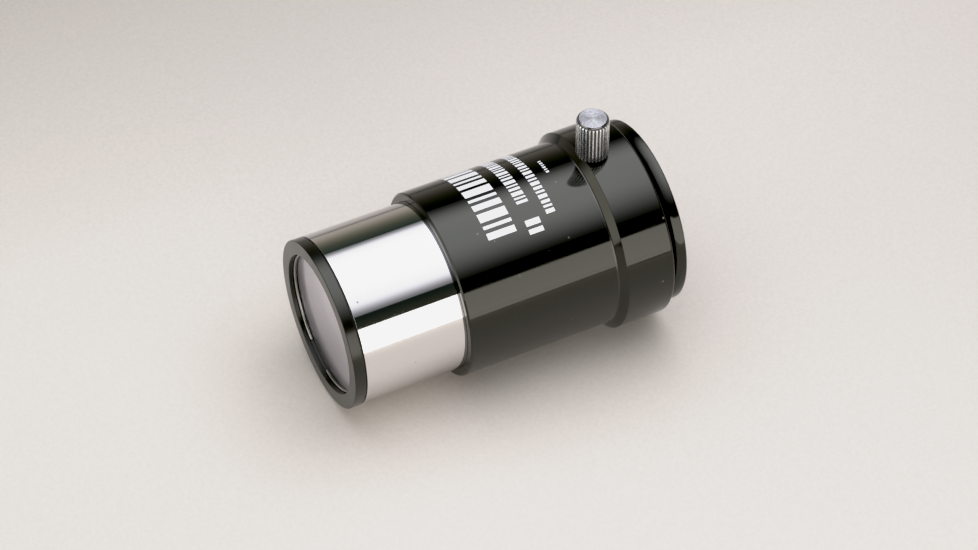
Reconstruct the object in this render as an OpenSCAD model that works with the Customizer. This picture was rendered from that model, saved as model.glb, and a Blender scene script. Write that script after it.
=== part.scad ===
// Barlow lens for 1.25 inch telescope focusers: a negative doublet in a screw-in
// cell, a chromed nose barrel, a black body tube and an eyepiece socket with a
// thumbscrew. The optical axis is X, with the nose at -X. The origin is on the
// axis, in the plane of the shoulder where the barrel meets the body. The
// thumbscrew stands on the +Z side.

/* [Nose barrel] */
// Outside diameter of the barrel, the 1.25 inch standard
barrel_d = 31.75; // [31.7:0.01:31.8]
// Length of plated barrel that shows, from the cell to the shoulder
barrel_length = 19.5; // [14:0.5:40]
// Bore of the barrel, threaded for the lens cell at the front
barrel_bore_d = 28.6; // [28.6:0.05:28.8]
// Length of the threaded spigot that screws into the body
spigot_length = 7; // [5:0.5:7.5]

/* [Lens cell] */
// Outside diameter of the cell's flange
flange_d = 31.75; // [31:0.05:31.75]
// Thickness of the flange
flange_length = 2.3; // [2.2:0.1:4]
// Depth from the front of the flange to the retaining ring
mouth_depth = 0.85; // [0.7:0.05:1]
// Diameter of the spring wire that the retaining ring is bent from
wire_d = 0.6; // [0.5:0.05:0.7]
// Angle that the gap in the retaining ring spans
ring_gap = 29; // [15:1:60]
// Pitch of the cell's thread
cell_pitch = 0.6; // [0.5:0.1:0.75]

/* [Lens] */
// Diameter of both lens elements
lens_d = 25.9; // [25.1:0.1:26.3]
// Radius of the hollow front surface
front_radius = 250; // [150:10:400]
// Radius of the surface that the two elements share
inner_radius = 45; // [42:1:60]
// Radius of the hollow rear surface
rear_radius = 70; // [65:1:300]
// Edge thickness of the front element
front_edge = 4.7; // [4.5:0.1:5]
// Edge thickness of the rear element
rear_edge = 1.9; // [1.5:0.1:2]

/* [Body] */
// Outside diameter of the body tube
body_d = 34.9; // [34.5:0.1:36]
// Length of the body tube, with its lip
body_length = 43.4; // [40:0.2:60]
// Diameter of the rim of the rounded lip
lip_d = 34.76; // [34.3:0.02:34.8]
// Diameter of the neck in front of the lip
neck_d = 32.8; // [32.6:0.1:33.4]
// Bore of the eyepiece socket
socket_d = 31.84; // [31.83:0.01:31.85]
// Depth of the eyepiece socket
socket_depth = 31; // [28:0.5:32]

/* [Collar] */
// Outside diameter of the collar
collar_d = 37.7; // [37:0.1:39]
// Distance from the shoulder to the front edge of the collar
collar_front = 29.6; // [28:0.1:30]
// Distance from the shoulder to the rear edge of the collar
collar_rear = 40.0; // [39.4:0.1:40.3]
// Length of the cone on the front of the collar
collar_cone = 1.15; // [0.8:0.05:1.5]

/* [Thumbscrew] */
// Distance from the shoulder to the axis of the thumbscrew
screw_x = 32.6; // [32.4:0.1:36]
// Diameter of the thumbscrew's thread
screw_d = 4; // [3:0.5:4]
// Pitch of the thumbscrew's thread
screw_pitch = 0.7; // [0.5:0.1:0.8]
// Diameter over the knurling
knob_d = 6; // [5.8:0.1:8]
// Height of the knob, with its top disc
knob_height = 8.6; // [6:0.1:10]
// Gap between the knob and the collar at rest
knob_gap = 0.25; // [0.25:0.05:0.8]
// Number of ribs in the knurling
rib_count = 28; // [20:1:36]

/* [Hidden] */
$fn = 128;

// Clearances: between threads, between faces that only touch, and of sliding metal
thread_gap = 0.05;
seat_gap = 0.02;
running_gap = 0.03;

// Stations along the axis, from the nose to the rear
cell_rear_face = -barrel_length;
nose_x = cell_rear_face - flange_length;
ring_front = nose_x + mouth_depth;
ring_rear = ring_front + wire_d;
glass_front = ring_rear + seat_gap;
glass_joint = glass_front + front_edge;
glass_rear = glass_joint + rear_edge;
cell_seat = glass_rear + seat_gap;
cell_end = cell_seat + 1;
socket_floor = body_length - socket_depth;
barrel_baffle_x = spigot_length - 3.5;
body_baffle_x = spigot_length + 1;

// Radii
barrel_r = barrel_d / 2;
bore_r = barrel_bore_d / 2;
lens_r = lens_d / 2;
cell_bore_r = lens_r + 0.05;
mouth_r = lens_r + 0.15;
ring_r = lens_r;
cell_thread_r = bore_r - thread_gap;
spigot_r = barrel_r - 0.47;
spigot_bore_r = spigot_r + thread_gap;
body_r = body_d / 2;
lip_r = lip_d / 2;
neck_r = neck_d / 2;
socket_r = socket_d / 2;
collar_r = collar_d / 2;
collar_bore_r = body_r + seat_gap;
clear_r = lens_r - 0.65;

// Depths of the thread grooves, and the pitch of the body's thread
fine_depth = 0.3;
body_pitch = 0.75;

// Heights of the thumbscrew above the optical axis
stud_tip = socket_r + 0.08;
knob_bottom = collar_r + knob_gap;
knob_top = knob_bottom + knob_height;
stud_top = knob_bottom + 5;
knob_r = knob_d / 2;
screw_r = screw_d / 2;

// Points [x, radius] of ring grooves along a thread, with flat crests and roots
function thread(start, end, pitch, crest, root) =
    [for (i = [0:floor((end - start) / pitch) - 1])
        each [[start + i * pitch, crest],
              [start + (i + 0.2) * pitch, crest],
              [start + (i + 0.55) * pitch, root],
              [start + (i + 0.65) * pitch, root]]];

function reversed(points) = [for (i = [len(points) - 1:-1:0]) points[i]];

// Points of an arc about [x, radius], from one angle to another
function arc(x, r, size, from, to, steps) =
    [for (i = [0:steps])
        let (a = from + (to - from) * i / steps) [x + size * cos(a), r + size * sin(a)]];

// A solid turned about the optical axis from points [x, radius]
module turned(outline) {
    rotate([0, 90, 0])
        rotate_extrude()
            polygon([for (p = outline) [p.y, p.x]]);
}

// A solid turned about the thumbscrew's axis from points [height, radius]
module turned_upright(outline) {
    translate([screw_x, 0, 0])
        rotate_extrude()
            polygon([for (p = outline) [p.y, p.x]]);
}

// A disc across the optical axis
module disc(start, end, radius) {
    translate([start, 0, 0])
        rotate([0, 90, 0])
            cylinder(h = end - start, r = radius);
}

// A ball on the optical axis whose surface passes through [x, lens_r]; its centre is
// on the nose side where side is -1 and on the eyepiece side where side is 1
module lens_ball(x, radius, side, gap = 0) {
    translate([x + side * sqrt(radius * radius - lens_r * lens_r), 0, 0])
        sphere(r = radius - gap, $fn = 400);
}

// Round hole down the thumbscrew's axis
module screw_hole(radius, bottom, top) {
    translate([screw_x, 0, bottom])
        cylinder(h = top - bottom, r = radius);
}

module lens_cell() {
    relief = cell_rear_face + 0.7;
    edge = 0.2;
    mouth_edge = 0.15;
    groove_r = ring_r + wire_d / 2 + thread_gap;
    color([0.12, 0.12, 0.12])
        turned(concat(
            [[nose_x, mouth_r + mouth_edge], [nose_x, flange_d / 2 - edge], [nose_x + edge, flange_d / 2],
             [cell_rear_face - edge / 2, flange_d / 2], [cell_rear_face, flange_d / 2 - edge / 2],
             [cell_rear_face, cell_thread_r - fine_depth], [relief, cell_thread_r - fine_depth]],
            thread(relief + 0.1, cell_end - 0.4, cell_pitch, cell_thread_r, cell_thread_r - fine_depth),
            [[cell_end, cell_thread_r - fine_depth], [cell_end, clear_r + 0.3],
             [cell_end - 0.3, clear_r], [cell_seat, clear_r], [cell_seat, cell_bore_r],
             [ring_rear + seat_gap, cell_bore_r], [ring_rear + seat_gap, groove_r],
             [ring_front - thread_gap, groove_r], [ring_front - thread_gap, mouth_r],
             [nose_x + mouth_edge, mouth_r]]));
}

module lens_retaining_ring() {
    middle = 196.5;
    reach = 20;
    color([0.45, 0.45, 0.45])
        difference() {
            turned(arc((ring_front + ring_rear) / 2, ring_r, wire_d / 2, 0, 345, 23));
            translate([ring_front - 1, 0, 0])
                rotate([90, 0, 90])
                    linear_extrude(height = 3)
                        polygon([[0, 0],
                                 for (side = [-0.5, 0.5])
                                    let (a = middle + side * ring_gap) reach * [-sin(a), cos(a)]]);
        }
}

module front_lens() {
    color([0.72, 0.7, 0.8, 0.4])
        difference() {
            disc(glass_front, glass_joint, lens_r);
            lens_ball(glass_front, front_radius, -1);
            lens_ball(glass_joint, inner_radius, 1);
        }
}

module rear_lens() {
    color([0.75, 0.78, 0.75, 0.4])
        difference() {
            intersection() {
                disc(glass_front, glass_rear, lens_r);
                lens_ball(glass_joint, inner_radius, 1, seat_gap);
            }
            lens_ball(glass_rear, rear_radius, 1);
        }
}

module nose_barrel() {
    edge = 0.15;
    color([0.9, 0.9, 0.92])
        turned(concat(
            [[cell_rear_face, bore_r + edge], [cell_rear_face, barrel_r - edge],
             [cell_rear_face + edge, barrel_r], [0, barrel_r], [0, spigot_r - fine_depth],
             [0.8, spigot_r - fine_depth]],
            thread(1, spigot_length - 0.4, body_pitch, spigot_r, spigot_r - fine_depth),
            [[spigot_length, spigot_r - fine_depth], [spigot_length, bore_r + 0.3],
             [spigot_length - 0.3, bore_r]],
            reversed(thread(cell_rear_face + 0.3, cell_end + 0.4, cell_pitch, bore_r,
                            bore_r + fine_depth))));
}

// A blackened ring with a sharp-edged aperture that widens to the rear
module glare_stop(x, outer, aperture) {
    thickness = 1.4;
    rim = 2.2;
    color([0.08, 0.08, 0.08])
        turned([[x, aperture], [x, outer], [x + thickness, outer], [x + thickness, outer - rim],
                [x + 0.5, outer - rim - 0.3], [x + 0.3, aperture]]);
}

module barrel_baffle() glare_stop(barrel_baffle_x, bore_r - thread_gap, clear_r - 1.7);

module body_baffle() glare_stop(body_baffle_x, spigot_bore_r - thread_gap, clear_r);

module body_tube() {
    edge = 0.35;
    entry = 0.45;
    rim_round = 0.25;
    ledge_r = bore_r - 0.1;
    lip_start = collar_rear + 0.7;
    lip_end = body_length - rim_round - 0.1;
    lip_rise = lip_r - neck_r;
    lip_run = lip_end - lip_start;
    lip_size = (lip_run * lip_run + lip_rise * lip_rise) / (2 * lip_rise);
    lip_angle = asin(lip_run / lip_size);
    color([0.1, 0.1, 0.1])
        difference() {
            turned(concat(
                [[0, spigot_bore_r + entry], [0, body_r - edge], [edge, body_r],
                 [collar_rear - 0.3, body_r], [collar_rear - 0.3, neck_r]],
                arc(lip_end, lip_r - lip_size, lip_size, 90 + lip_angle, 90, 10),
                arc(body_length - rim_round, lip_r - rim_round, rim_round, 90, 0, 4),
                [[body_length, socket_r + 0.7], [body_length - 0.7, socket_r],
                 [socket_floor, socket_r], [socket_floor, spigot_bore_r],
                 [body_baffle_x, spigot_bore_r], [body_baffle_x, ledge_r],
                 [spigot_length, ledge_r], [spigot_length, spigot_bore_r]],
                reversed(thread(entry + 0.4, spigot_length - 0.2, body_pitch, spigot_bore_r,
                                spigot_bore_r + fine_depth))));
            screw_hole(screw_r + 0.2, socket_r - 2, body_r + 1);
        }
}

module thumbscrew_collar() {
    round_r = 0.25;
    step = 0.12;
    color([0.1, 0.1, 0.1])
        difference() {
            turned(concat(
                [[collar_front, collar_bore_r], [collar_front, body_r + step],
                 [collar_front + collar_cone, collar_r]],
                arc(collar_rear - round_r, collar_r - round_r, round_r, 90, 0, 5),
                [[collar_rear, collar_bore_r]]));
            screw_hole(screw_r + thread_gap, body_r - 1, collar_r + 1);
        }
}

module thumbscrew_stud() {
    color([0.7, 0.7, 0.7])
        turned_upright(concat(
            [[stud_top, 0], [stud_tip, 0], [stud_tip, screw_r - fine_depth - 0.2]],
            thread(stud_tip + 0.3, knob_bottom - 0.3, screw_pitch, screw_r, screw_r - fine_depth),
            [[knob_bottom - 0.3, screw_r - fine_depth], [knob_bottom, screw_r],
             [stud_top, screw_r]]));
}

module thumbscrew_knob() {
    disc_height = 0.3;
    disc_r = knob_r - 0.33;
    foot = 0.48;
    groove = 0.22;
    shoulder = knob_top - disc_height;
    bore_top = stud_top + 0.1;
    color([0.75, 0.75, 0.77])
        difference() {
            union() {
                intersection() {
                    turned_upright([[knob_bottom, 0], [knob_bottom, knob_r - foot],
                                    [knob_bottom + foot, knob_r], [shoulder - 0.2, knob_r],
                                    [shoulder, knob_r - 0.2], [shoulder, 0]]);
                    translate([screw_x, 0, knob_bottom])
                        linear_extrude(height = knob_height)
                            polygon([for (i = [0:rib_count - 1])
                                        each [for (corner = [[0.1, 0], [0.42, 0], [0.62, 1], [0.9, 1]])
                                            let (a = 360 * (i + corner.x) / rib_count,
                                                 r = knob_r + 0.01 - groove * corner.y)
                                            [r * cos(a), r * sin(a)]]]);
                }
                turned_upright([[shoulder - 1, 0], [shoulder - 1, disc_r], [knob_top - 0.1, disc_r],
                                [knob_top, disc_r - 0.1], [knob_top, 0]]);
            }
            screw_hole(screw_r + running_gap, knob_bottom - 1, bore_top);
        }
}

lens_cell();
lens_retaining_ring();
front_lens();
rear_lens();
nose_barrel();
barrel_baffle();
body_tube();
body_baffle();
thumbscrew_collar();
thumbscrew_stud();
thumbscrew_knob();
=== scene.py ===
"""The looks of a 1.25 inch barlow lens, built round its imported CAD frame.

The optical axis is X, with the nose at -X, and the thumbscrew stands on the +Z side.
Sizes below are in millimetres; a mesh is scaled to metres when it is made.
"""

import math

import bmesh
import bpy
from mathutils import Matrix, Vector


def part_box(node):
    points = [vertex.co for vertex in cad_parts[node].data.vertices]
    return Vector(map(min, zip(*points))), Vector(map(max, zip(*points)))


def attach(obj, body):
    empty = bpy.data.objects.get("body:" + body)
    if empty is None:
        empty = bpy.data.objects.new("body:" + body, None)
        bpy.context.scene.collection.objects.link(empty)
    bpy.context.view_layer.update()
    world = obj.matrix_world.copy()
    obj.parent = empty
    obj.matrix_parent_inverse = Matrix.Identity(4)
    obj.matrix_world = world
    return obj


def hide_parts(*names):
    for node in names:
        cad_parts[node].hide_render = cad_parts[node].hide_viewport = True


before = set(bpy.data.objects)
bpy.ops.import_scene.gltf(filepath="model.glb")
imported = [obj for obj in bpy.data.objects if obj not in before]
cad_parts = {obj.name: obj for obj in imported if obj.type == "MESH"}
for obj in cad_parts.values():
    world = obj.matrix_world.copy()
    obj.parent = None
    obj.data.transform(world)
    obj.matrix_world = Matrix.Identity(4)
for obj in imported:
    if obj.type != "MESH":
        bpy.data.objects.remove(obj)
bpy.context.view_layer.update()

MM = 0.001
AROUND = 256             # faces round a turned piece
CUTTER_AROUND = 64       # faces round a hole for the thumbscrew
SUPPORT = 0.03           # distance of the loop that keeps a flat face flat beside its bevel


# ---------------------------------------------------------------- sizes from the frame

def span(node, axis):
    """Lowest and highest place of a CAD node along an axis, in millimetres."""
    low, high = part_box(node)
    return low[axis] / MM, high[axis] / MM


NOSE_X, CELL_END = span("lens_cell", 0)
RING_FRONT, RING_REAR = span("lens_retaining_ring", 0)
GLASS_FRONT, GLASS_JOINT = span("front_lens", 0)
GLASS_REAR = span("rear_lens", 0)[1]
BARREL_FRONT, SPIGOT_END = span("nose_barrel", 0)
SHOULDER, LIP_X = span("body_tube", 0)
COLLAR_FRONT, COLLAR_REAR = span("thumbscrew_collar", 0)
KNOB_BOTTOM, KNOB_TOP = span("thumbscrew_knob", 2)
SCREW_X = sum(span("thumbscrew_knob", 0)) / 2

FLANGE_R = span("lens_cell", 2)[1]
LENS_R = span("front_lens", 2)[1]
BARREL_R = span("nose_barrel", 2)[1]
BODY_R = span("body_tube", 2)[1]
COLLAR_R = span("thumbscrew_collar", 2)[1]
KNOB_R = span("thumbscrew_knob", 1)[1]
STUD_R = span("thumbscrew_stud", 1)[1]
# sizes that no box of a node gives, the same as in the CAD
BORE_R = 14.3
SOCKET_R = 15.92
SOCKET_FLOOR = 12.4
NECK_R = 16.4
LIP_R = 17.38
CLEAR_R = LENS_R - 0.65
WIRE_R = (RING_REAR - RING_FRONT) / 2
SPIGOT_BORE_R = BARREL_R - 0.42
CELL_PITCH = 0.6
BODY_PITCH = 0.75
GROOVE = 0.3             # depth of a thread's groove
SEAT_GAP = 0.02
THREAD_GAP = 0.05
FRONT_RADIUS = 250       # curvatures of the lens faces
INNER_RADIUS = 45
REAR_RADIUS = 70
CONE = 1.15              # length of the collar's conical front edge
RIBS = 28
RIB_DEPTH = 0.28


# ---------------------------------------------------------------- outlines of turned pieces

def arc(x, r, size, start, end, steps):
    """Points of an arc about (x, r), with angles in degrees."""
    angles = [math.radians(start + (end - start) * i / steps) for i in range(steps + 1)]
    return [(x + size * math.cos(a), r + size * math.sin(a)) for a in angles]


def bevelled(corners, size=0.08, steps=4):
    """A closed outline whose sharp corners are rounded, with a support point on each side."""
    done = []
    count = len(corners)
    for i, corner in enumerate(corners):
        here = Vector(corner)
        back = Vector(corners[i - 1]) - here
        ahead = Vector(corners[(i + 1) % count]) - here
        turn = math.pi - back.angle(ahead)
        if turn < math.radians(14) or here.y < 1e-6:
            done.append(tuple(here))
            continue
        room = 0.4 * min(back.length, ahead.length)
        reach = min(size * math.tan(turn / 2), room)
        radius = reach / math.tan(turn / 2)
        centre = here + (back.normalized() + ahead.normalized()).normalized() * (
            radius / math.cos(turn / 2))
        first = here + back.normalized() * reach
        last = here + ahead.normalized() * reach
        gap = min(SUPPORT, room / 4)
        done.append(tuple(first + back.normalized() * gap))
        for k in range(steps + 1):
            spoke = (first - centre).lerp(last - centre, k / steps).normalized() * radius
            done.append(tuple(centre + spoke))
        done.append(tuple(last + ahead.normalized() * gap))
    return done


def thread(start, end, pitch, crest, root):
    """Ring grooves along a thread, as (x, r) points from start to end."""
    points = []
    for i in range(int((end - start) / pitch)):
        x = start + i * pitch
        points += [(x, crest), (x + 0.2 * pitch, crest), (x + 0.55 * pitch, root), (x + 0.65 * pitch, root)]
    return points


# ---------------------------------------------------------------- mesh makers

def new_object(name, mesh):
    piece = bpy.data.objects.new(name, mesh)
    bpy.context.scene.collection.objects.link(piece)
    return piece


def lathe(name, outline, around=AROUND, upright=False):
    """Turns a closed outline of (x, r) points about the optical axis, or about the screw's axis."""
    bm = bmesh.new()
    rings = []
    for along, radius in outline:
        if radius < 1e-6:
            rings.append([bm.verts.new(place(along, 0, 0, upright))])
            continue
        rings.append([bm.verts.new(place(along, radius, 2 * math.pi * k / around, upright))
                      for k in range(around)])
    for i, ring in enumerate(rings):
        other = rings[(i + 1) % len(rings)]
        if len(ring) == 1 and len(other) == 1:
            continue
        for k in range(around):
            n = (k + 1) % around
            corners = [ring[k % len(ring)], ring[n % len(ring)],
                       other[n % len(other)], other[k % len(other)]]
            bm.faces.new(list(dict.fromkeys(corners)))
    return finish_mesh(name, bm)


def place(along, radius, angle, upright=False):
    """A point at an angle round the optical axis (from +Z towards -Y) or round the screw's axis."""
    if upright:
        return Vector((SCREW_X + radius * math.cos(angle), radius * math.sin(angle), along)) * MM
    return Vector((along, -radius * math.sin(angle), radius * math.cos(angle))) * MM


def finish_mesh(name, bm):
    bmesh.ops.recalc_face_normals(bm, faces=bm.faces)
    mesh = bpy.data.meshes.new(name)
    bm.to_mesh(mesh)
    bm.free()
    mesh.shade_smooth()
    return new_object(name, mesh)


def cut(piece, cutter):
    """Cuts the cutter out of the piece and removes the cutter."""
    modifier = piece.modifiers.new("cut", "BOOLEAN")
    modifier.operation = "DIFFERENCE"
    modifier.solver = "EXACT"
    modifier.object = cutter
    bpy.context.view_layer.update()
    evaluated = piece.evaluated_get(bpy.context.evaluated_depsgraph_get())
    mesh = bpy.data.meshes.new_from_object(evaluated)
    piece.modifiers.clear()
    piece.data = mesh
    mesh.set_sharp_from_angle(angle=math.radians(35))
    bpy.data.objects.remove(cutter)


# ---------------------------------------------------------------- materials

class Nodes:
    """A short way to write a node material."""

    def __init__(self, name):
        self.material = bpy.data.materials.new(name)
        self.material.use_nodes = True
        self.tree = self.material.node_tree
        self.shader = self.tree.nodes["Principled BSDF"]

    def add(self, kind, inputs=None, **settings):
        node = self.tree.nodes.new("ShaderNode" + kind)
        for key, value in settings.items():
            setattr(node, key, value)
        for key, value in (inputs or {}).items():
            self.feed(node.inputs[key], value)
        return node

    def feed(self, socket, value):
        if isinstance(value, bpy.types.NodeSocket):
            self.tree.links.new(value, socket)
        else:
            socket.default_value = value

    def set(self, **inputs):
        for key, value in inputs.items():
            self.feed(self.shader.inputs[key.replace("_", " ")], value)

    def coords(self, scale=(1, 1, 1)):
        where = self.add("TexCoord").outputs["Object"]
        return self.add("Mapping", {"Vector": where, "Scale": scale}).outputs["Vector"]

    def noise(self, scale, detail=3.0, stretch=(1, 1, 1)):
        return self.add("TexNoise", {"Vector": self.coords(stretch), "Scale": scale, "Detail": detail,
                                     "Roughness": 0.55}).outputs["Fac"]

    def ramp(self, value, low, high, out_low=0.0, out_high=1.0):
        return self.add("MapRange", {"Value": value, "From Min": low, "From Max": high, "To Min": out_low,
                                     "To Max": out_high}).outputs["Result"]

    def math(self, operation, a, b=0.0):
        return self.add("Math", {0: a, 1: b}, operation=operation).outputs[0]

    def mix(self, factor, a, b):
        node = self.add("Mix", data_type="RGBA")
        self.feed(node.inputs["Factor"], factor)
        self.feed(node.inputs[6], a)
        self.feed(node.inputs[7], b)
        return node.outputs[2]

    def bump(self, height, distance, strength=1.0):
        inputs = {"Height": height, "Distance": distance, "Strength": strength}
        return self.add("Bump", inputs).outputs["Normal"]


def turned_lines(nodes, per_mm, depth):
    """Height of fine lathe marks along the optical axis, a little uneven round the piece."""
    lines = nodes.noise(per_mm / MM, 2.0, (1, 0.01, 0.01))
    return nodes.bump(lines, depth * MM)


def dust(nodes, size_mm, share):
    """1 on sparse small specks, 0 elsewhere."""
    cells = nodes.add("TexVoronoi", {"Vector": nodes.coords(), "Scale": 1 / (size_mm * MM),
                                     "Randomness": 1.0})
    near = nodes.ramp(cells.outputs["Distance"], 0.12, 0.05)
    pick = nodes.add("SeparateColor", {"Color": cells.outputs["Color"]}).outputs[0]
    return nodes.math("MULTIPLY", near, nodes.math("LESS_THAN", pick, share))


def black_anodised(name, roughness, tint):
    """Dyed anodised aluminium: a thin clear oxide over black, with faint lathe marks and dust."""
    n = Nodes(name)
    cloud = n.noise(180, 4.0)
    specks = dust(n, 2.2, 0.10)
    base = n.mix(specks, (0.0007, 0.0007, 0.0006, 1), (0.10, 0.10, 0.085, 1))
    n.set(Base_Color=base, IOR=1.52, Specular_Tint=tint,
          Roughness=n.math("ADD", n.ramp(cloud, 0.3, 0.7, roughness * 0.8, roughness * 1.25),
                           n.math("MULTIPLY", specks, 0.3)),
          Normal=turned_lines(n, 9.0, 0.0002))
    return n.material


def chrome_plate():
    """Mirror-bright plating with faint smears, lathe marks and dust."""
    n = Nodes("chrome_plate")
    smear = n.noise(120, 3.0, (0.4, 1, 1))
    specks = dust(n, 2.6, 0.12)
    n.set(Base_Color=n.mix(specks, (0.69, 0.675, 0.675, 1), (0.27, 0.28, 0.26, 1)), Metallic=1.0,
          Specular_Tint=(0.84, 0.84, 0.84, 1),
          Roughness=n.math("ADD", n.ramp(smear, 0.35, 0.7, 0.03, 0.07), n.math("MULTIPLY", specks, 0.3)),
          Normal=turned_lines(n, 14.0, 0.00006))
    return n.material


def grey_metal():
    """Drawn spring wire."""
    n = Nodes("grey_ring")
    n.set(Base_Color=n.mix(n.noise(900, 2.0), (0.28, 0.28, 0.26, 1), (0.40, 0.40, 0.38, 1)), Metallic=1.0,
          Roughness=0.25, Normal=n.bump(n.noise(3000, 2.0), 0.000004))
    return n.material


def matt_black():
    """Anti-glare black with a fine tooth."""
    n = Nodes("matt_black")
    n.set(Base_Color=n.mix(n.noise(2500, 2.0), (0.006, 0.006, 0.006, 1), (0.016, 0.016, 0.015, 1)),
          Roughness=0.75, Normal=n.bump(n.noise(5000, 2.0), 0.00001))
    return n.material


def coated_glass(name, tint, strength):
    """Glass under a coating that adds a tinted reflection to the bare glass, most of all at a low angle."""
    n = Nodes(name)
    n.set(Base_Color=(0.97, 0.97, 0.98, 1), Transmission_Weight=1.0, IOR=1.52, Roughness=0.0)
    softness = n.ramp(n.noise(60, 3.0), 0.4, 0.8, 0.28, 0.33)
    sheen = n.add("BsdfGlossy", {"Color": tint, "Roughness": softness})
    angle = n.add("LayerWeight", {"Blend": 0.5}).outputs["Facing"]
    share = n.ramp(angle, 0.3, 0.95, 0.02, strength)
    both = n.add("MixShader", {0: share, 1: n.shader.outputs["BSDF"], 2: sheen.outputs["BSDF"]})
    n.feed(n.tree.nodes["Material Output"].inputs["Surface"], both.outputs[0])
    return n.material


def from_screw_axis(nodes):
    """Distance from the thumbscrew's axis."""
    where = nodes.add("TexCoord").outputs["Object"]
    axis = Vector((SCREW_X * MM, 0, 0))
    centred = nodes.add("VectorMath", {0: where, 1: axis}, operation="SUBTRACT").outputs[0]
    flat = nodes.add("Mapping", {"Vector": centred, "Scale": (1, 1, 0)}).outputs["Vector"]
    return nodes.add("VectorMath", {0: flat}, operation="LENGTH").outputs["Value"]


def nickel():
    """Bright nickel with a random mottle, and painted shade: the base colour is painted dark in the valleys
    between the ribs and anywhere nearer the screw's axis.
    """
    n = Nodes("bright_nickel")
    grime = n.noise(1400, 3.0)
    bright = n.mix(n.ramp(grime, 0.4, 0.7), (0.80, 0.81, 0.80, 1), (0.60, 0.62, 0.61, 1))
    # Painted shade: faces nearer the screw's axis than the rib crests (the rib valleys, the step under the
    # top face, the foot and the bore) get the dark base colour.
    crest = n.ramp(from_screw_axis(n), (KNOB_R - 0.8 * RIB_DEPTH) * MM, (KNOB_R - 0.15 * RIB_DEPTH) * MM)
    n.set(Base_Color=n.mix(crest, (0.14, 0.145, 0.145, 1), bright), Metallic=0.94,
          Roughness=n.ramp(grime, 0.3, 0.7, 0.13, 0.26), Normal=n.bump(n.noise(4000, 2.0), 0.000006))
    return n.material


def turned_nickel():
    """The faced top of the knob: rings round the screw's axis, which spread highlights into a bow tie."""
    n = Nodes("nickel_turned")
    across = n.math("MULTIPLY", from_screw_axis(n), 9000.0)
    rings = n.add("TexNoise", {"W": across, "Scale": 1.0, "Detail": 2.0},
                  noise_dimensions="1D").outputs["Fac"]
    mottle = n.noise(2200, 3.0)
    n.set(Base_Color=n.mix(n.ramp(mottle, 0.4, 0.65), (0.45, 0.452, 0.465, 1), (0.33, 0.332, 0.345, 1)),
          Metallic=1.0, Roughness=0.25, Anisotropic=0.9, Anisotropic_Rotation=0.25,
          Tangent=n.add("Tangent", direction_type="RADIAL", axis="Z").outputs[0],
          Normal=n.bump(rings, 0.000008))
    return n.material


def worn_edge():
    """Anodised metal rubbed thin on an edge, so that it shines a little more."""
    n = Nodes("worn_edge")
    n.set(Base_Color=n.mix(n.noise(700, 2.0), (0.055, 0.055, 0.05, 1), (0.08, 0.08, 0.075, 1)),
          Metallic=1.0, Roughness=0.2, Normal=n.bump(n.noise(3000, 2.0), 0.000004))
    return n.material


def white_ink():
    """Opaque ink with a soft shine."""
    n = Nodes("white_ink")
    n.set(Base_Color=n.mix(n.noise(3000, 2.0), (0.72, 0.73, 0.74, 1), (0.82, 0.83, 0.84, 1)),
          Roughness=0.45, Normal=n.bump(n.noise(6000, 2.0), 0.000004))
    return n.material


def paper_floor():
    """Matt paper with a fine grain and a very faint cloudiness, painted darker further behind the part as
    painted shade where the light falls off.
    """
    n = Nodes("paper_floor")
    grain = n.noise(1400, 3.0)
    cloud = n.noise(14, 2.0)
    colour = n.mix(n.ramp(grain, 0.3, 0.7), (0.632, 0.593, 0.535, 1), (0.69, 0.647, 0.585, 1))
    near = n.mix(n.ramp(cloud, 0.3, 0.7, 0.0, 0.35), colour, (0.673, 0.63, 0.57, 1))
    # Painted shade: from 0.05 m to 0.2 m behind the axis the paper colour is blended up to 45% towards
    # black.
    behind = n.add("SeparateXYZ", {0: n.add("TexCoord").outputs["Object"]}).outputs["Y"]
    n.set(Base_Color=n.mix(n.ramp(behind, 0.05, 0.2, 0.0, 0.45), near, (0, 0, 0, 1)), Roughness=0.9,
          Specular_IOR_Level=0.0, Normal=n.bump(grain, 0.00006, 0.5))
    return n.material


GLOSS_BLACK = black_anodised("gloss_black_anodised", 0.075, (0.97, 1.0, 0.88, 1))
SATIN_BLACK = black_anodised("satin_black_anodised", 0.2, (0.97, 1.0, 0.88, 1))
CHROME = chrome_plate()
GREY_RING = grey_metal()
MATT_BLACK = matt_black()
FRONT_GLASS = coated_glass("coated_glass_front", (0.90, 0.875, 0.95, 1), 0.75)
REAR_GLASS = coated_glass("coated_glass_rear", (0.80, 0.86, 0.80, 1), 0.15)
NICKEL = nickel()
NICKEL_TOP = turned_nickel()
WORN_EDGE = worn_edge()
INK = white_ink()
PAPER = paper_floor()


def second_material(piece, chosen):
    """Gives the second material to the faces chosen by their centre's x and distance from the axis."""
    vertices = piece.data.vertices
    for face in piece.data.polygons:
        centre = sum((vertices[v].co for v in face.vertices), Vector()) / len(face.vertices) / MM
        face.material_index = int(chosen(centre.x, math.hypot(centre.y, centre.z)))


def dress(piece, body, slot, *materials, node=None):
    """Gives a piece its materials and its body, and hides the CAD node that it stands for. The slot is not
    used.
    """
    piece.data.materials.clear()
    for material in materials:
        piece.data.materials.append(material)
    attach(piece, body)
    if node:
        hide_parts(node)
    return piece


# ---------------------------------------------------------------- the pieces

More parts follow.
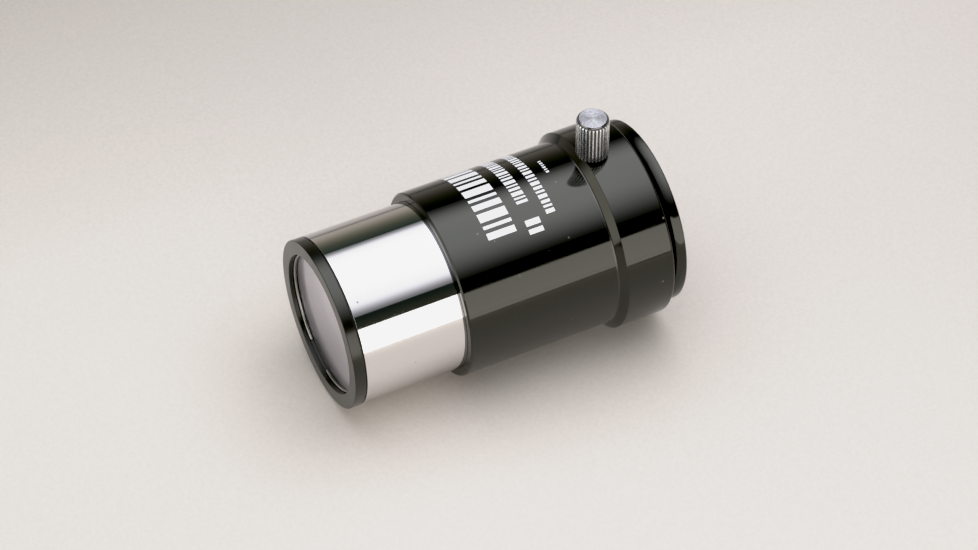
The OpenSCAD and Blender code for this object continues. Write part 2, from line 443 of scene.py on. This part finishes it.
def make_lens_cell():
    """The threaded cell: a flange with a fine step before the barrel, and a groove for the spring wire."""
    thread_r = BORE_R - THREAD_GAP
    thread_root = thread_r - GROOVE
    relief = BARREL_FRONT + 0.7
    groove_r = LENS_R + WIRE_R + 0.05
    mouth_r, mouth_chamfer = LENS_R + 0.15, 0.12
    step_x, step_r = BARREL_FRONT - 0.26, FLANGE_R - 0.3
    seat_x, seat_r = GLASS_REAR + SEAT_GAP, LENS_R + 0.05
    end_chamfer = 0.3
    corners = [(NOSE_X, mouth_r + mouth_chamfer), (NOSE_X, FLANGE_R), (step_x, FLANGE_R), (step_x, step_r),
               (BARREL_FRONT, step_r), (BARREL_FRONT, thread_root), (relief, thread_root)]
    corners += thread(relief + 0.1, CELL_END - 0.4, CELL_PITCH, thread_r, thread_root)
    corners += [(CELL_END, thread_root), (CELL_END, CLEAR_R + end_chamfer),
                (CELL_END - end_chamfer, CLEAR_R), (seat_x, CLEAR_R), (seat_x, seat_r), (RING_REAR, seat_r),
                (RING_REAR, groove_r), (RING_FRONT - 0.05, groove_r), (RING_FRONT - 0.05, mouth_r),
                (NOSE_X + mouth_chamfer, mouth_r)]
    piece = lathe("lens_cell_turned", bevelled(corners, 0.14))
    dress(piece, "cell", "satin_black_anodised", SATIN_BLACK, MATT_BLACK, node="lens_cell")
    second_material(piece, lambda x, r: r < LENS_R + 0.1)
    return piece


def make_retaining_ring():
    """A round spring wire bent into a circle, with a gap between its two cut ends."""
    middle_x = (RING_FRONT + RING_REAR) / 2
    gap, open_from = 29, -149
    sides, steps = 20, 220
    bm = bmesh.new()
    rows = []
    for i in range(steps + 1):
        angle = math.radians(open_from + (360 - gap) * i / steps)
        wire = WIRE_R * (0.82 if i in (0, steps) else 1.0)
        spokes = [2 * math.pi * k / sides for k in range(sides)]
        rows.append([bm.verts.new(place(middle_x + wire * math.cos(t), LENS_R + wire * math.sin(t), angle))
                     for t in spokes])
    for lower, upper in zip(rows, rows[1:]):
        for k in range(sides):
            n = (k + 1) % sides
            bm.faces.new((lower[k], lower[n], upper[n], upper[k]))
    bm.faces.new(rows[0][::-1])
    bm.faces.new(rows[-1])
    piece = finish_mesh("lens_ring_wire", bm)
    return dress(piece, "cell", "grey_ring", GREY_RING, node="lens_retaining_ring")


def sag(radius, r):
    """Depth of a sphere's cap at a distance from its axis."""
    return radius - math.sqrt(radius * radius - r * r)


def curved_face(edge_x, radius, side, steps=28):
    """Points of a hollow (side 1) or bulging (side -1) face, from the rim to the axis."""
    rim = sag(radius, LENS_R)
    return [(edge_x + side * (rim - sag(radius, LENS_R * (1 - i / steps))), LENS_R * (1 - i / steps))
            for i in range(steps + 1)]


def blacken_edge(lens):
    """Ground and blackened edge of a lens, sharp against its polished faces."""
    second_material(lens, lambda x, r: r > LENS_R - 0.05)
    lens.data.set_sharp_from_angle(angle=math.radians(30))


def make_lenses():
    """The doublet: a nearly flat front, a shared inner face and a hollow rear."""
    front = curved_face(GLASS_FRONT, FRONT_RADIUS, 1)
    joint = curved_face(GLASS_JOINT, INNER_RADIUS, -1)
    lens = lathe("front_lens_polished", front + joint[::-1])
    blacken_edge(dress(lens, "lens_pair", "coated_glass", FRONT_GLASS, MATT_BLACK, node="front_lens"))
    bulge = [(x + SEAT_GAP, r) for x, r in joint]
    hollow = curved_face(GLASS_REAR, REAR_RADIUS, -1)
    lens = lathe("rear_lens_polished", bulge + hollow[::-1])
    blacken_edge(dress(lens, "lens_pair", "coated_glass", REAR_GLASS, MATT_BLACK, node="rear_lens"))


def make_barrel():
    """The plated barrel with the cell's thread inside and the body's thread on its spigot."""
    spigot_r = SPIGOT_BORE_R - THREAD_GAP
    root, chamfer = spigot_r - GROOVE, 0.3
    corners = [(BARREL_FRONT, BORE_R), (BARREL_FRONT, BARREL_R), (SHOULDER, BARREL_R), (SHOULDER, root),
               (SHOULDER + 0.8, root)]
    corners += thread(SHOULDER + 1, SPIGOT_END - 0.4, BODY_PITCH, spigot_r, root)
    corners += [(SPIGOT_END, root), (SPIGOT_END, BORE_R + chamfer), (SPIGOT_END - chamfer, BORE_R)]
    corners += thread(BARREL_FRONT + 0.3, CELL_END + 0.4, CELL_PITCH, BORE_R, BORE_R + GROOVE)[::-1]
    piece = lathe("nose_barrel_plated", bevelled(corners, 0.06))
    dress(piece, "root", "chrome_plate", CHROME, MATT_BLACK, node="nose_barrel")
    second_material(piece, lambda x, r: r < BORE_R + GROOVE + THREAD_GAP)
    return piece


def make_body():
    """The black tube: body, neck behind the collar, rounded lip, eyepiece socket, ledge and thread."""
    bore_r = SPIGOT_BORE_R
    ledge_r, ledge_end = BORE_R - 0.1, SPIGOT_END + 1
    edge, mouth_chamfer, rim = 0.3, 0.7, 0.25
    neck_x = COLLAR_REAR - 0.3
    start, end = COLLAR_REAR + 1.0, LIP_X - rim
    rise, run = LIP_R - NECK_R, end - start
    size = (run * run + rise * rise) / (2 * rise)
    sweep = math.degrees(math.asin(run / size))
    corners = [(SHOULDER, bore_r + 0.45), (SHOULDER, BODY_R - edge), (SHOULDER + edge, BODY_R),
               (neck_x, BODY_R), (neck_x, NECK_R)]
    corners += arc(end, LIP_R - size, size, 90 + sweep, 90, 16)
    corners += arc(end, LIP_R - rim, rim, 90, 0, 8)[1:]
    corners += [(LIP_X, SOCKET_R + mouth_chamfer), (LIP_X - mouth_chamfer, SOCKET_R),
                (SOCKET_FLOOR, SOCKET_R), (SOCKET_FLOOR, bore_r), (ledge_end, bore_r), (ledge_end, ledge_r),
                (SPIGOT_END, ledge_r), (SPIGOT_END, bore_r)]
    corners += thread(0.85, SPIGOT_END - 0.2, BODY_PITCH, bore_r, bore_r + GROOVE)[::-1]
    piece = lathe("body_tube_anodised", bevelled(corners, 0.1))
    hole_r = STUD_R + 0.2
    hole = lathe("hole_cutter", [(SOCKET_R - 2, 0), (SOCKET_R - 2, hole_r), (BODY_R + 1, hole_r),
                                 (BODY_R + 1, 0)], CUTTER_AROUND, upright=True)
    cut(piece, hole)
    return dress(piece, "root", "gloss_black_anodised", GLOSS_BLACK, node="body_tube")


def make_collar():
    """The collar: a small cove at its foot, a conical front edge, a crest and a rounded rear."""
    inner, step = BODY_R - 0.01, 0.12
    cove, crest_r, rear_r = 0.5, 0.15, 0.5
    slope = math.atan2(COLLAR_R - BODY_R - step, CONE)
    half, sweep = math.tan(slope / 2), math.degrees(slope)
    foot = COLLAR_FRONT - step / math.tan(slope) - cove * half
    crest, rear = COLLAR_FRONT + CONE + crest_r * half, COLLAR_REAR + 0.2
    corners = [(rear, inner), (foot, inner)]
    corners += arc(foot, BODY_R + cove + 0.005, cove, -90, sweep - 90, 8)
    corners += arc(crest, COLLAR_R - crest_r, crest_r, 90 + sweep, 90, 6) + [(crest + SUPPORT, COLLAR_R)]
    corners.append((rear - rear_r - SUPPORT, COLLAR_R))
    corners += arc(rear - rear_r, COLLAR_R - rear_r, rear_r, 90, 0, 10)
    piece = lathe("collar_anodised", corners)
    hole_r, countersink_r = STUD_R + THREAD_GAP, STUD_R + 0.4
    hole = lathe("hole_cutter", [(BODY_R - 1, 0), (BODY_R - 1, hole_r), (COLLAR_R - 0.25, hole_r),
                                 (COLLAR_R + 0.1, countersink_r), (COLLAR_R + 1, countersink_r),
                                 (COLLAR_R + 1, 0)], CUTTER_AROUND, upright=True)
    cut(piece, hole)
    dress(piece, "root", "gloss_black_anodised", GLOSS_BLACK, WORN_EDGE, node="thumbscrew_collar")
    second_material(piece, lambda x, r: x < COLLAR_FRONT - 0.05 and r > BODY_R)
    return piece


def rib_depth(angle):
    """Share of the groove's depth at an angle: narrow flat tops, straight flanks and round bottoms."""
    bottom, flank = 0.22, 0.42
    phase = (angle * RIBS / (2 * math.pi)) % 1.0
    off = abs(phase - 0.5) * 2
    return 1 - min(1.0, max(0.0, (off - bottom) / flank)) ** 1.2


def make_knob():
    """The knurled head: ribs with bevelled ends, a step whose darkness is painted shade from the nickel
    material, and a separate turned top face.
    """
    shoulder, foot = KNOB_TOP - 0.3, 0.48
    top_r = KNOB_R - 0.33
    around = RIBS * 16
    angles = [2 * math.pi * k / around for k in range(around)]
    bm = bmesh.new()
    ribs_start, ribs_end = KNOB_BOTTOM + foot, shoulder - 0.35
    heights = [(KNOB_BOTTOM, KNOB_R - foot), (ribs_start - 0.03, KNOB_R - 0.03),
               (ribs_start + 0.02, KNOB_R)]
    heights += [(ribs_start + (ribs_end - ribs_start) * i / 6, KNOB_R) for i in range(1, 7)]
    heights += [(ribs_end + 0.03, KNOB_R - 0.01), (shoulder - 0.05, KNOB_R - 0.18),
                (shoulder, KNOB_R - 0.24)]
    rows = []
    for z, limit in heights:
        rows.append([bm.verts.new(place(z, min(limit, KNOB_R - RIB_DEPTH * rib_depth(a)), a, True))
                     for a in angles])
    for z, r in [(shoulder - 0.02, top_r + 0.06), (shoulder - 0.07, top_r + 0.04),
                 (shoulder - 0.07, top_r + 0.01), (shoulder - 0.03, top_r), (shoulder, top_r - 0.01),
                 (KNOB_TOP - 0.03, top_r - 0.15), (KNOB_TOP, top_r - 0.18), (KNOB_TOP, top_r - 0.21),
                 (KNOB_TOP, top_r * 0.5)]:
        rows.append([bm.verts.new(place(z, r, a, True)) for a in angles])
    for lower, upper in zip(rows, rows[1:]):
        for k in range(around):
            n = (k + 1) % around
            bm.faces.new((lower[k], lower[n], upper[n], upper[k]))
    centre = bm.verts.new(place(KNOB_TOP, 0, 0, True))
    for k in range(around):
        bm.faces.new((rows[-1][k], rows[-1][(k + 1) % around], centre))
    bore, bore_end = STUD_R + 0.03, KNOB_BOTTOM + 5.1
    inside = [(KNOB_BOTTOM, KNOB_R - foot - 0.1), (KNOB_BOTTOM, bore + 0.15), (KNOB_BOTTOM + 0.12, bore),
              (bore_end, bore)]
    previous = rows[0]
    for z, r in inside:
        row = [bm.verts.new(place(z, r, a, True)) for a in angles]
        for k in range(around):
            n = (k + 1) % around
            bm.faces.new((previous[n], previous[k], row[k], row[n]))
        previous = row
    end = bm.verts.new(place(bore_end, 0, 0, True))
    for k in range(around):
        bm.faces.new((previous[(k + 1) % around], previous[k], end))
    piece = finish_mesh("thumbscrew_knob_knurled", bm)
    dress(piece, "thumbscrew_head", "bright_nickel", NICKEL, NICKEL_TOP, node="thumbscrew_knob")
    for face in piece.data.polygons:
        on_top = all(piece.data.vertices[v].co.z > (KNOB_TOP - 0.03) * MM for v in face.vertices)
        face.material_index = 1 if on_top else 0
    piece.data.set_sharp_from_angle(angle=math.radians(50))
    return piece


def keep_cad(node, material):
    """A CAD node whose shape is right keeps its mesh and gets its material."""
    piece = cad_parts[node]
    piece.data.materials.clear()
    piece.data.materials.append(material)


make_lens_cell()
make_retaining_ring()
make_lenses()
make_barrel()
make_body()
make_collar()
make_knob()
keep_cad("barrel_baffle", MATT_BLACK)
keep_cad("body_baffle", MATT_BLACK)
keep_cad("thumbscrew_stud", NICKEL)


# ---------------------------------------------------------------- printed marks on the body

def mark(name, patches):
    """Thin raised ink on the body, from patches of (x0, x1, angle0, angle1) in millimetres and degrees."""
    lift, depth = 0.012, 0.02
    bm = bmesh.new()
    for x0, x1, a0, a1 in patches:
        steps = max(2, int(abs(a1 - a0) / 2))
        section = [(x0, BODY_R - depth), (x0, BODY_R + lift), (x1, BODY_R + lift), (x1, BODY_R - depth)]
        rows = []
        for i in range(steps + 1):
            angle = math.radians(a0 + (a1 - a0) * i / steps)
            rows.append([bm.verts.new(place(x, r, angle)) for x, r in section])
        for lower, upper in zip(rows, rows[1:]):
            for k in range(4):
                n = (k + 1) % 4
                bm.faces.new((lower[k], lower[n], upper[n], upper[k]))
        bm.faces.new(rows[0])
        bm.faces.new(rows[-1][::-1])
    piece = finish_mesh(name, bm)
    piece.data.set_sharp_from_angle(angle=math.radians(30))
    return dress(piece, "root", "gloss_black_anodised", INK)


def bars(x0, x1, first, last, widths, gap):
    """Bars across a band of the body, from the first angle to the last, with widths used in turn."""
    done, angle, i = [], first, 0
    while angle - widths[i % len(widths)] > last:
        width = widths[i % len(widths)]
        done.append((x0, x1, angle, angle - width))
        angle -= width + gap
        i += 1
    return done


mark("ink_wide_band", bars(8.0, 13.5, 28, -48, (4.2, 2.2, 6.0), 2.6))
mark("ink_pair", bars(15.5, 18.3, 33, 22, (3.0, 3.8), 2.0))
mark("ink_middle_band", bars(15.7, 17.9, 12.8, -48, (1.9, 1.2, 2.8), 1.4))
mark("ink_rear_band", bars(19.9, 21.6, 24.5, -48, (2.6, 1.4, 2.0), 1.4))
mark("ink_dots", bars(23.8, 24.4, -2, -16, (1.4, 1.0), 1.0))


# ---------------------------------------------------------------- floor, light and camera

def make_floor():
    """A plane that touches the front edges of the collar and of the body."""
    slope = (COLLAR_R - BODY_R) / (COLLAR_FRONT + CONE - SHOULDER)
    size, behind = 2.0, 0.30
    bm = bmesh.new()
    corners = [(-size, -size), (size, -size), (size, behind), (-size, behind)]
    level = -BODY_R * MM
    bm.faces.new([bm.verts.new((x, y, level - slope * x)) for x, y in corners])
    floor = finish_mesh("floor", bm)
    floor.data.materials.append(PAPER)


def soft_light(name, centre, size_x, size_y, radiance, colour, fades=(0, 0, 0, 0), turn=(0, 0, 0)):
    """A rectangular light of the given radiance. It fades, down to a small rest, over shares of its size at
    the low x, high x, low y and high y edges."""
    data = bpy.data.lights.new(name, "AREA")
    data.shape = "RECTANGLE"
    data.size, data.size_y = size_x, size_y
    data.energy = radiance * math.pi * size_x * size_y
    data.color = colour
    data.use_nodes = True
    tree = data.node_tree
    where = tree.nodes.new("ShaderNodeNewGeometry").outputs["Parametric"]
    parts = tree.nodes.new("ShaderNodeSeparateXYZ")
    tree.links.new(where, parts.inputs[0])
    strength = None
    for i, width in enumerate(fades):
        if not width:
            continue
        soft = tree.nodes.new("ShaderNodeMapRange")
        soft.interpolation_type = "SMOOTHSTEP"
        tree.links.new(parts.outputs[i // 2], soft.inputs["Value"])
        soft.inputs["From Min"].default_value = i % 2
        soft.inputs["From Max"].default_value = 1 - width if i % 2 else width
        soft.inputs["To Min"].default_value = 0.06
        if strength is None:
            strength = soft.outputs[0]
            continue
        both = tree.nodes.new("ShaderNodeMath")
        both.operation = "MULTIPLY"
        tree.links.new(strength, both.inputs[0])
        tree.links.new(soft.outputs[0], both.inputs[1])
        strength = both.outputs[0]
    if strength is not None:
        tree.links.new(strength, tree.nodes["Emission"].inputs["Strength"])
    lamp = bpy.data.objects.new(name, data)
    bpy.context.scene.collection.objects.link(lamp)
    lamp.location = centre
    lamp.rotation_euler = turn
    lamp.visible_camera = False
    return lamp


def make_world():
    """A dark room that is a little lighter near the horizon."""
    world = bpy.data.worlds.new("studio")
    bpy.context.scene.world = world
    world.use_nodes = True
    tree = world.node_tree
    where = tree.nodes.new("ShaderNodeTexCoord").outputs["Generated"]
    parts = tree.nodes.new("ShaderNodeSeparateXYZ")
    tree.links.new(where, parts.inputs[0])
    ramp = tree.nodes.new("ShaderNodeValToRGB")
    tree.links.new(parts.outputs["Z"], ramp.inputs[0])
    steps = [(0.0, (0.49, 0.455, 0.41)), (0.13, (0.37, 0.34, 0.29)), (0.29, (0.195, 0.185, 0.148)),
             (0.44, (0.085, 0.095, 0.072)), (0.60, (0.035, 0.05, 0.045))]
    ramp.color_ramp.elements[0].position = 0.0
    ramp.color_ramp.elements[1].position = 0.60
    for position, _ in steps[1:-1]:
        ramp.color_ramp.elements.new(position)
    for element, (position, colour) in zip(ramp.color_ramp.elements, steps):
        element.position = position
        element.color = (*colour, 1)
    tree.links.new(ramp.outputs[0], tree.nodes["Background"].inputs["Color"])
    behind = tree.nodes.new("ShaderNodeMapRange")
    tree.links.new(parts.outputs["Y"], behind.inputs["Value"])
    for socket, value in (("From Min", -0.3), ("From Max", 0.3), ("To Min", 0.45), ("To Max", 1.0)):
        behind.inputs[socket].default_value = value
    tree.links.new(behind.outputs[0], tree.nodes["Background"].inputs["Strength"])


def make_lights():
    """A softbox above, cards in front and on the left, and two weak lights that only fill the shadows."""
    height = 0.27
    front, back = -1.08 * height, 1.13 * height
    left, right = -1.2 * height, 1.35 * height
    middle = ((left + right) / 2, (front + back) / 2, height)
    soft_light("softbox", middle, right - left, back - front, 3.8, (0.985, 0.975, 1.06),
               fades=(0.75, 0.4, 0.46, 0.36))
    low, high = -0.0175, 0.108
    upright, level = math.radians(90), (low + high) / 2
    soft_light("card_front", (0.015, -0.214, level), 0.31, high - low, 2.65, (1.02, 0.955, 0.95),
               turn=(upright, 0, 0))
    soft_light("card_left", (-0.25, 0.05, 0.075), 0.36, 0.185, 2.0, (1.0, 0.97, 0.92),
               fades=(0.35, 0, 0, 0), turn=(upright, 0, -upright))
    tilt = math.radians(45)
    for name, place_at, radiance, turn in (("fill_back", (-0.1, 0.2, 0.2), 0.3, (-tilt, 0, 0)),
                                           ("fill_front", (-0.16, -0.2, 0.2), 0.45, (tilt, 0, -tilt))):
        fill = soft_light(name, place_at, 0.25, 0.25, radiance, (1.0, 0.98, 1.0), turn=turn)
        fill.visible_glossy = False
        fill.visible_transmission = False


def make_camera():
    """A long lens that looks down on the part from the front left."""
    azimuth, elevation, roll = math.radians(-26.0), math.radians(46.6), math.radians(-0.33)
    aim = Vector((10.75, -2.53, 0)) * MM
    distance = 541.4 * MM
    back = Vector((math.sin(azimuth) * math.cos(elevation), -math.cos(azimuth) * math.cos(elevation),
                   math.sin(elevation)))
    data = bpy.data.cameras.new("camera")
    data.lens = 110.3
    data.clip_start, data.clip_end = 0.01, 20
    camera = bpy.data.objects.new("camera", data)
    bpy.context.scene.collection.objects.link(camera)
    camera.location = aim + back * distance
    camera.rotation_mode = "QUATERNION"
    upright = (-back).to_track_quat("-Z", "Y")
    camera.rotation_quaternion = upright @ Matrix.Rotation(roll, 3, "Z").to_quaternion()
    bpy.context.scene.camera = camera


def make_tone():
    """Keeps the tones of the studio linear up to about two thirds and rolls the highlights off softly."""
    view = bpy.context.scene.view_settings
    view.view_transform = "Standard"
    view.use_curve_mapping = True
    curve = view.curve_mapping
    curve.black_level = (0.0055, 0.0055, 0.007)
    curve.white_level = (2.5, 2.5, 2.5)
    points = curve.curves[3].points
    points[0].location = (0, 0)
    points[1].location = (1, 0.915)
    for x, y in ((0.1, 0.25), (0.2, 0.5), (0.26, 0.65), (0.32, 0.77), (0.40, 0.84), (0.60, 0.89)):
        points.new(x, y)
    curve.update()


make_floor()
make_world()
make_lights()
make_camera()
make_tone()
